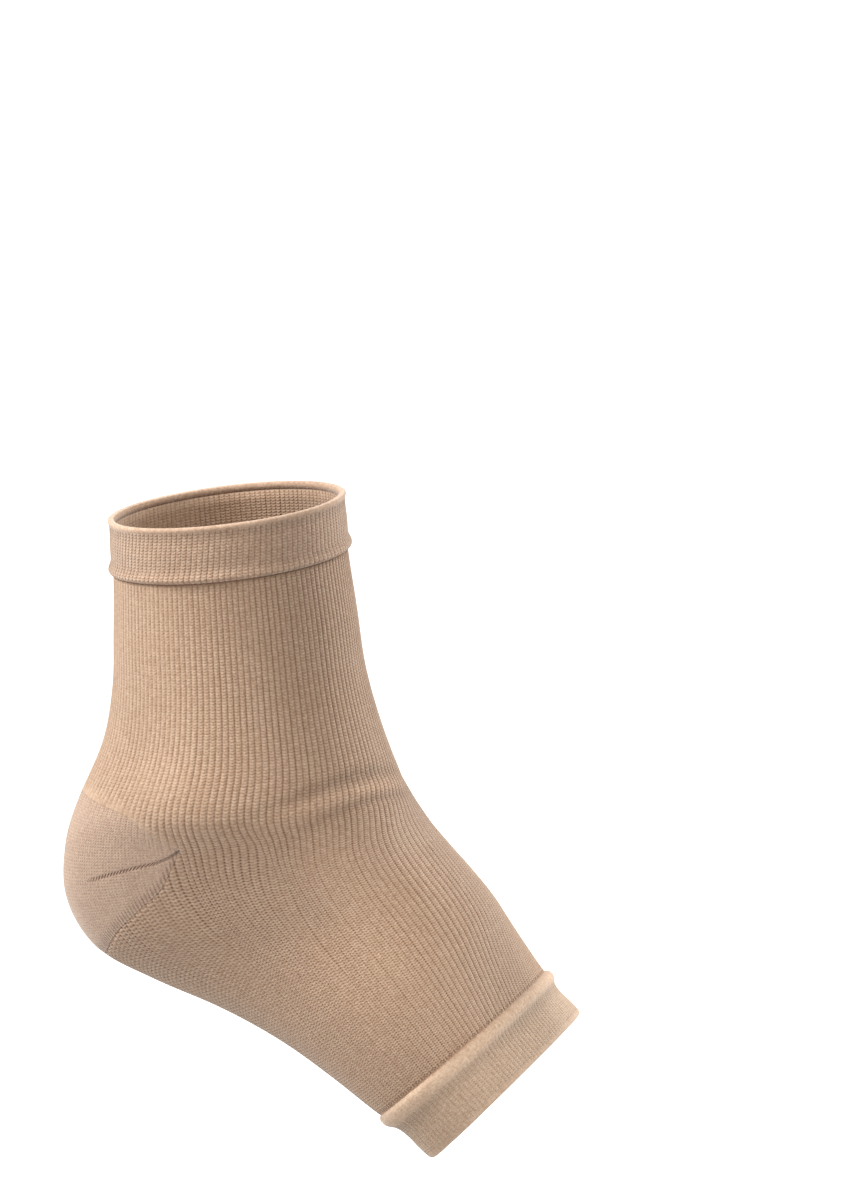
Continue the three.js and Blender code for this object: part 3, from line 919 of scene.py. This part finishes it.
def knitMaterial(name, look, ribValue=None, extra=None):
    # ribbed knit. extra adds a piece's own gaps and height to the stitches, on the sleeve also a painted
    # shadow
    material = bpy.data.materials.new(name)
    material.use_nodes = True
    tree = material.node_tree
    shader = tree.nodes["Principled BSDF"]
    uv = addNode(tree, "ShaderNodeUVMap", uv_map="Knit")
    split = addNode(tree, "ShaderNodeSeparateXYZ")
    feed(tree, split.inputs[0], uv.outputs[0])
    rib, course = split.outputs[0], split.outputs[1]
    if ribValue:
        rib = maths(tree, "ADD", rib, attribute(tree, ribValue))
    rib = times(tree, rib, look["ribsPerRib"])
    course = times(tree, course, look["coursesPerCourse"])
    meshy = attribute(tree, "meshy") if look["meshy"] is None else look["meshy"]
    place = addNode(tree, "ShaderNodeTexCoord").outputs["Object"]
    yarn = useGroup(tree, fuzz, place=place)
    rib = offMiddle(tree, yarn["Mottling"], look["wobble"], rib)
    stitch = useGroup(
        tree, stitches, rib=rib, course=course, meshy=meshy, sharp=look["sharp"], arch=look["arch"]
    )
    uneven = offMiddle(tree, yarn["Mottling"], 1.0, 1.0)
    gap = times(tree, stitch["Gap"], times(tree, uneven, look["gapStrength"]))
    height = times(tree, stitch["Height"], look["stitchHeight"])
    if extra:
        gap, height = extra(tree, gap, height, split.outputs[0])
    gap = maths(tree, "MINIMUM", gap, 1.0)
    share = offMiddle(tree, yarn["Fibres"], look["grain"], 0.5)
    share = offMiddle(tree, stitch["Tone"], look["toneStrength"], share)
    share = offMiddle(tree, yarn["Mottling"], look["mottling"], share)
    toned = blendColours(tree, share, look["deep"], look["light"])
    # painted light and shade: the yarn's colour, with its gaps and on the sleeve the painted shadow under the
    # top cuff's hem, scaled by each point's painted shading
    shaded = addNode(tree, "ShaderNodeVectorMath", operation="SCALE")
    feed(tree, shaded.inputs[0], blendColours(tree, gap, toned, look["gap"]))
    feed(tree, shaded.inputs["Scale"], attribute(tree, "tone"))
    feed(tree, shader.inputs["Base Color"], shaded.outputs[0])
    fibres = maths(tree, "MULTIPLY_ADD", yarn["Fibres"], look["fibreHeight"], height)
    relief = addNode(tree, "ShaderNodeBump")
    relief.inputs["Strength"].default_value = look["relief"]
    relief.inputs["Distance"].default_value = look["reliefDistance"]
    feed(tree, relief.inputs["Height"], fibres)
    feed(tree, shader.inputs["Normal"], relief.outputs[0])
    roughness = maths(tree, "MULTIPLY_ADD", yarn["Fibres"], look["roughnessSpread"], look["roughness"])
    feed(tree, shader.inputs["Roughness"], roughness)
    shader.inputs["Specular IOR Level"].default_value = look["specular"]
    shader.inputs["Sheen Weight"].default_value = look["sheen"]
    shader.inputs["Sheen Roughness"].default_value = look["sheenRoughness"]
    shader.inputs["Sheen Tint"].default_value = look["sheenTint"]
    return material


def rgb(red, green, blue):
    # a colour as seen on a screen, as the shader's linear one
    return tuple(((c / 255 + 0.055) / 1.055) ** 2.4 for c in (red, green, blue)) + (1,)


def offRamp(tree, value, start, end):
    # from 1 at start to 0 at end, smoothly
    return maths(tree, "SUBTRACT", 1.0, ramp(tree, value, start, end))


# What all pieces share. Colours are as on a screen, a relief's distance is in metres
yarnLook = {
    "gap": rgb(134, 89, 60),
    "grain": 2.0, "mottling": 0.8, "arch": 0.3, "wobble": 0.35, "fibreHeight": 0.5,
    "relief": 0.75, "reliefDistance": 0.0003,
    "roughness": 0.84, "roughnessSpread": 0.12, "specular": 0.28,
    "sheen": 0.4, "sheenRoughness": 0.45, "sheenTint": (1.0, 0.93, 0.86, 1),
}

sleeveLook = yarnLook | {
    "light": rgb(239, 204, 173), "deep": rgb(207, 168, 137),
    "gapStrength": 0.76, "toneStrength": 0.5, "sharp": 3.6, "stitchHeight": 1.0,
    "ribsPerRib": 1.0, "coursesPerCourse": 1.0,
    "meshy": None,                                      # as the mesh says
    "faintShare": 0.6,                                  # of the ribs, lost above the heel pocket
    "holeAway": 1.0, "holeReach": (0.2, 0.65),          # a row of small holes behind the foot cuff
    "holesPerRib": 1.5, "holeSharp": 1.3, "holeStrength": 0.8,
    "shadeReach": (0.1, 1.2), "shadeStrength": 0.6,     # a painted shadow under the top cuff's hem
}


def sleeveExtra(tree, gap, height, rib):
    # the ribs run out above the heel pocket, a row of small holes follows the foot cuff, and a painted shadow
    # lies under the top cuff's hem
    look = sleeveLook
    faint, bold = attribute(tree, "faint"), attribute(tree, "bold")
    plain = maths(tree, "MULTIPLY_ADD", faint, -look["faintShare"], bold)
    gap, height = times(tree, gap, plain), times(tree, height, plain)
    aside = maths(tree, "ABSOLUTE", maths(tree, "SUBTRACT", attribute(tree, "hemAway"), look["holeAway"]))
    holes = power(tree, wave(tree, times(tree, rib, look["holesPerRib"])), look["holeSharp"])
    holes = times(tree, offRamp(tree, aside, *look["holeReach"]), holes)
    # painted shadow under the top cuff's hem
    under = offRamp(tree, attribute(tree, "cuffAway"), *look["shadeReach"])
    under = times(tree, under, look["shadeStrength"])
    dark = maths(tree, "MAXIMUM", times(tree, holes, look["holeStrength"]), under)
    return maths(tree, "MAXIMUM", gap, dark), maths(tree, "SUBTRACT", height, holes)


heelLook = yarnLook | {
    "light": rgb(243, 210, 182), "deep": rgb(210, 172, 148),
    "gapStrength": 0.22, "toneStrength": 0.4, "sharp": 2.0, "stitchHeight": 0.4, "meshy": 0.6,
    "ribsPerRib": 2.0, "coursesPerCourse": 1.5,
    "dotLength": 1.4, "dotShow": (0.3, 0.7),            # the dots of the gore line
    "dotHalfWidth": 0.2, "dotSwell": 0.55, "dotEdge": (0.4, 1.1), "dotDepth": 1.2,
    "rungsPerRib": 2.0, "rungSharp": 1.5,               # the rungs of yarn along the lower seam
    "rungReach": (1.2, 3.4), "rungStrength": 0.4, "rungDepth": 0.6,
    "grooveStrength": 0.4,                              # share of the sleeve's gaps on the upper edge
}


def heelExtra(tree, gap, height, rib):
    # the dotted gore line, rungs of yarn that meet the lower seam, and the sleeve's ribs on the upper edge
    look = heelLook
    side = maths(tree, "ABSOLUTE", attribute(tree, "goreSide"))
    dot = wave(tree, maths(tree, "DIVIDE", attribute(tree, "goreAlong"), look["dotLength"]))
    halfWidth = maths(tree, "MULTIPLY_ADD", dot, look["dotSwell"], look["dotHalfWidth"])
    line = offRamp(tree, maths(tree, "DIVIDE", side, halfWidth), *look["dotEdge"])
    shown = times(tree, ramp(tree, dot, *look["dotShow"]), attribute(tree, "goreShow"))
    line = times(tree, line, shown)
    rung = power(tree, wave(tree, times(tree, rib, look["rungsPerRib"])), look["rungSharp"])
    rung = times(tree, rung, offRamp(tree, attribute(tree, "lowerSeam"), *look["rungReach"]))
    groove = power(tree, wave(tree, rib), sleeveLook["sharp"])
    groove = times(tree, groove, offRamp(tree, attribute(tree, "upperSeam"), 0.0, heel["ribReach"]))
    grooveStrength = look["grooveStrength"] * sleeveLook["gapStrength"]
    gap = maths(tree, "MAXIMUM", gap, times(tree, groove, grooveStrength))
    gap = maths(tree, "MAXIMUM", gap, line)
    gap = maths(tree, "ADD", gap, times(tree, rung, look["rungStrength"]))
    height = maths(tree, "SUBTRACT", height, times(tree, line, look["dotDepth"]))
    return gap, maths(tree, "SUBTRACT", height, times(tree, rung, look["rungDepth"]))


topCuffLook = yarnLook | {
    "light": rgb(243, 208, 179), "deep": rgb(209, 171, 141),
    "gapStrength": 0.55, "toneStrength": 0.5, "sharp": 4.0, "stitchHeight": 1.0, "meshy": 0.0,
    "ribsPerRib": 1.0, "coursesPerCourse": 1.0,
}
footCuffLook = topCuffLook | {
    "light": rgb(249, 217, 187), "deep": rgb(219, 183, 152),
    "gapStrength": 0.3, "sharp": 3.0, "meshy": 0.5,
}


def cuffExtra(tree, gap, height, rib):
    # no rib gaps on the rolled edge
    plain = maths(tree, "SUBTRACT", 1.0, attribute(tree, "rim"))
    return times(tree, gap, plain), times(tree, height, plain)


# Build the pieces and dress each in its material, in place of its part of the frame
def dress(piece, node, material):
    piece.data.materials.append(material)
    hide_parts(node)
    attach(piece, "root")


sleeveMaterial = knitMaterial("sleeveRibKnit", sleeveLook, extra=sleeveExtra)
dress(makeSleeve(), "sleeve", sleeveMaterial)
print("sleeve made")
heelMaterial = knitMaterial("heelFineKnit", heelLook, extra=heelExtra)
dress(makeHeel(), "heel_pocket", heelMaterial)
print("heel pocket made")
topMaterial = knitMaterial("topCuffKnit", topCuffLook, "lean", cuffExtra)
dress(makeTopCuff(), "top_cuff", topMaterial)
footMaterial = knitMaterial("footCuffKnit", footCuffLook, "lean", cuffExtra)
dress(makeFootCuff(), "foot_cuff", footMaterial)
print("cuffs made")

# Floor and backdrop in one pale sweep, well below the sleeve, which hangs from the ankle that wears it
studio = {
    "floorDrop": 0.34, "front": 4.0, "wallDistance": 4.0, "wallHeight": 5.0, "halfWidth": 6.0,
    "corner": 1.5, "cornerStep": 10,    # radius in metres, step in degrees
    "paper": (0.5, 0.5, 0.5, 1), "paperRoughness": 0.95,
    "airStrength": 0.74,                # the camera itself sees it as white
}


def makeBackdrop():
    step = studio["cornerStep"]
    turns = [math.radians(turn) for turn in range(step, 90 + step, step)]
    corner = studio["corner"]
    cornerStart = studio["wallDistance"] - corner
    profile = [(-studio["front"], 0.0), (cornerStart, 0.0)]
    profile += [(cornerStart + corner * math.sin(t), corner * (1 - math.cos(t))) for t in turns]
    profile.append((studio["wallDistance"], studio["wallHeight"]))
    points = [(x * studio["halfWidth"], y, z - studio["floorDrop"]) for y, z in profile for x in (-1, 1)]
    faces = [(2 * i, 2 * i + 1, 2 * i + 3, 2 * i + 2) for i in range(len(profile) - 1)]
    mesh = bpy.data.meshes.new("backdrop")
    mesh.from_pydata(points, [], faces)
    mesh.polygons.foreach_set("use_smooth", [True] * len(faces))
    backdrop = bpy.data.objects.new("backdrop", mesh)
    bpy.context.scene.collection.objects.link(backdrop)
    material = bpy.data.materials.new("palePaper")
    material.use_nodes = True
    tree = material.node_tree
    shader = tree.nodes["Principled BSDF"]
    shader.inputs["Base Color"].default_value = studio["paper"]
    shader.inputs["Roughness"].default_value = studio["paperRoughness"]
    shader.inputs["Emission Color"].default_value = (1, 1, 1, 1)
    seen = addNode(tree, "ShaderNodeLightPath").outputs["Is Camera Ray"]
    feed(tree, shader.inputs["Emission Strength"], seen)
    mesh.materials.append(material)


# Places and sizes in metres, power in watts. All three point at the middle of the sleeve
lights = {
    "keyLight": {"place": (-1.3, -0.15, 1.2), "size": (0.8, 0.8), "power": 42},
    "topLight": {"place": (0.7, -0.8, 1.5), "size": (0.8, 0.8), "power": 10},
    "rimLight": {"place": (1.3, 0.9, 0.5), "size": (0.5, 1.0), "power": 20},
}
middle = Vector((0.03, 0, -0.01))


def makeLight(name, place, size, power):
    lamp = bpy.data.lights.new(name, "AREA")
    lamp.shape = "RECTANGLE"
    lamp.size, lamp.size_y = size
    lamp.energy = power
    light = bpy.data.objects.new(name, lamp)
    light.location = place
    light.rotation_euler = (middle - Vector(place)).to_track_quat("-Z", "Y").to_euler()
    bpy.context.scene.collection.objects.link(light)


makeBackdrop()
for name, light in lights.items():
    makeLight(name, **light)
world = bpy.data.worlds.new("studioAir")
world.use_nodes = True
air = world.node_tree
air.nodes["Background"].inputs["Color"].default_value = (1, 1, 1, 1)
seen = addNode(air, "ShaderNodeLightPath").outputs["Is Camera Ray"]
strength = maths(air, "MULTIPLY_ADD", seen, 1 - studio["airStrength"], studio["airStrength"])
feed(air, air.nodes["Background"].inputs["Strength"], strength)
bpy.context.scene.world = world
bpy.context.scene.view_settings.view_transform = "Standard"
print("studio made")

# The camera stands where the photo's did, a little above the ankle and tipped a little to one side
shot = {
    "distance": 1300, "elevation": 12, "roll": 3.5,
    "pixelsPerMm": 3.2,            # at the ankle centre
    "originPixel": (246, 790), "imageSize": (853, 1200), "sensor": 36, "clip": (0.01, 50),
}


def makeCamera():
    elevation, roll = math.radians(shot["elevation"]), math.radians(shot["roll"])
    ahead = Vector((0, math.cos(elevation), -math.sin(elevation)))
    level = Vector((1, 0, 0))
    upright = Vector((0, math.sin(elevation), math.cos(elevation)))
    right = level * math.cos(roll) - upright * math.sin(roll)
    up = level * math.sin(roll) + upright * math.cos(roll)
    width, height = shot["imageSize"]
    aside = (width / 2 - shot["originPixel"][0]) / shot["pixelsPerMm"]
    above = (shot["originPixel"][1] - height / 2) / shot["pixelsPerMm"]
    place = (right * aside + up * above - ahead * shot["distance"]) * mm
    lens = bpy.data.cameras.new("camera")
    lens.sensor_fit = "VERTICAL"
    lens.sensor_height = shot["sensor"]
    lens.lens = shot["sensor"] * shot["distance"] * shot["pixelsPerMm"] / height
    lens.clip_start, lens.clip_end = shot["clip"]
    camera = bpy.data.objects.new("camera", lens)
    turn = Matrix((right, up, -ahead)).transposed()
    camera.matrix_world = Matrix.Translation(place) @ turn.to_4x4()
    bpy.context.scene.collection.objects.link(camera)
    bpy.context.scene.camera = camera


makeCamera()
print("camera made")
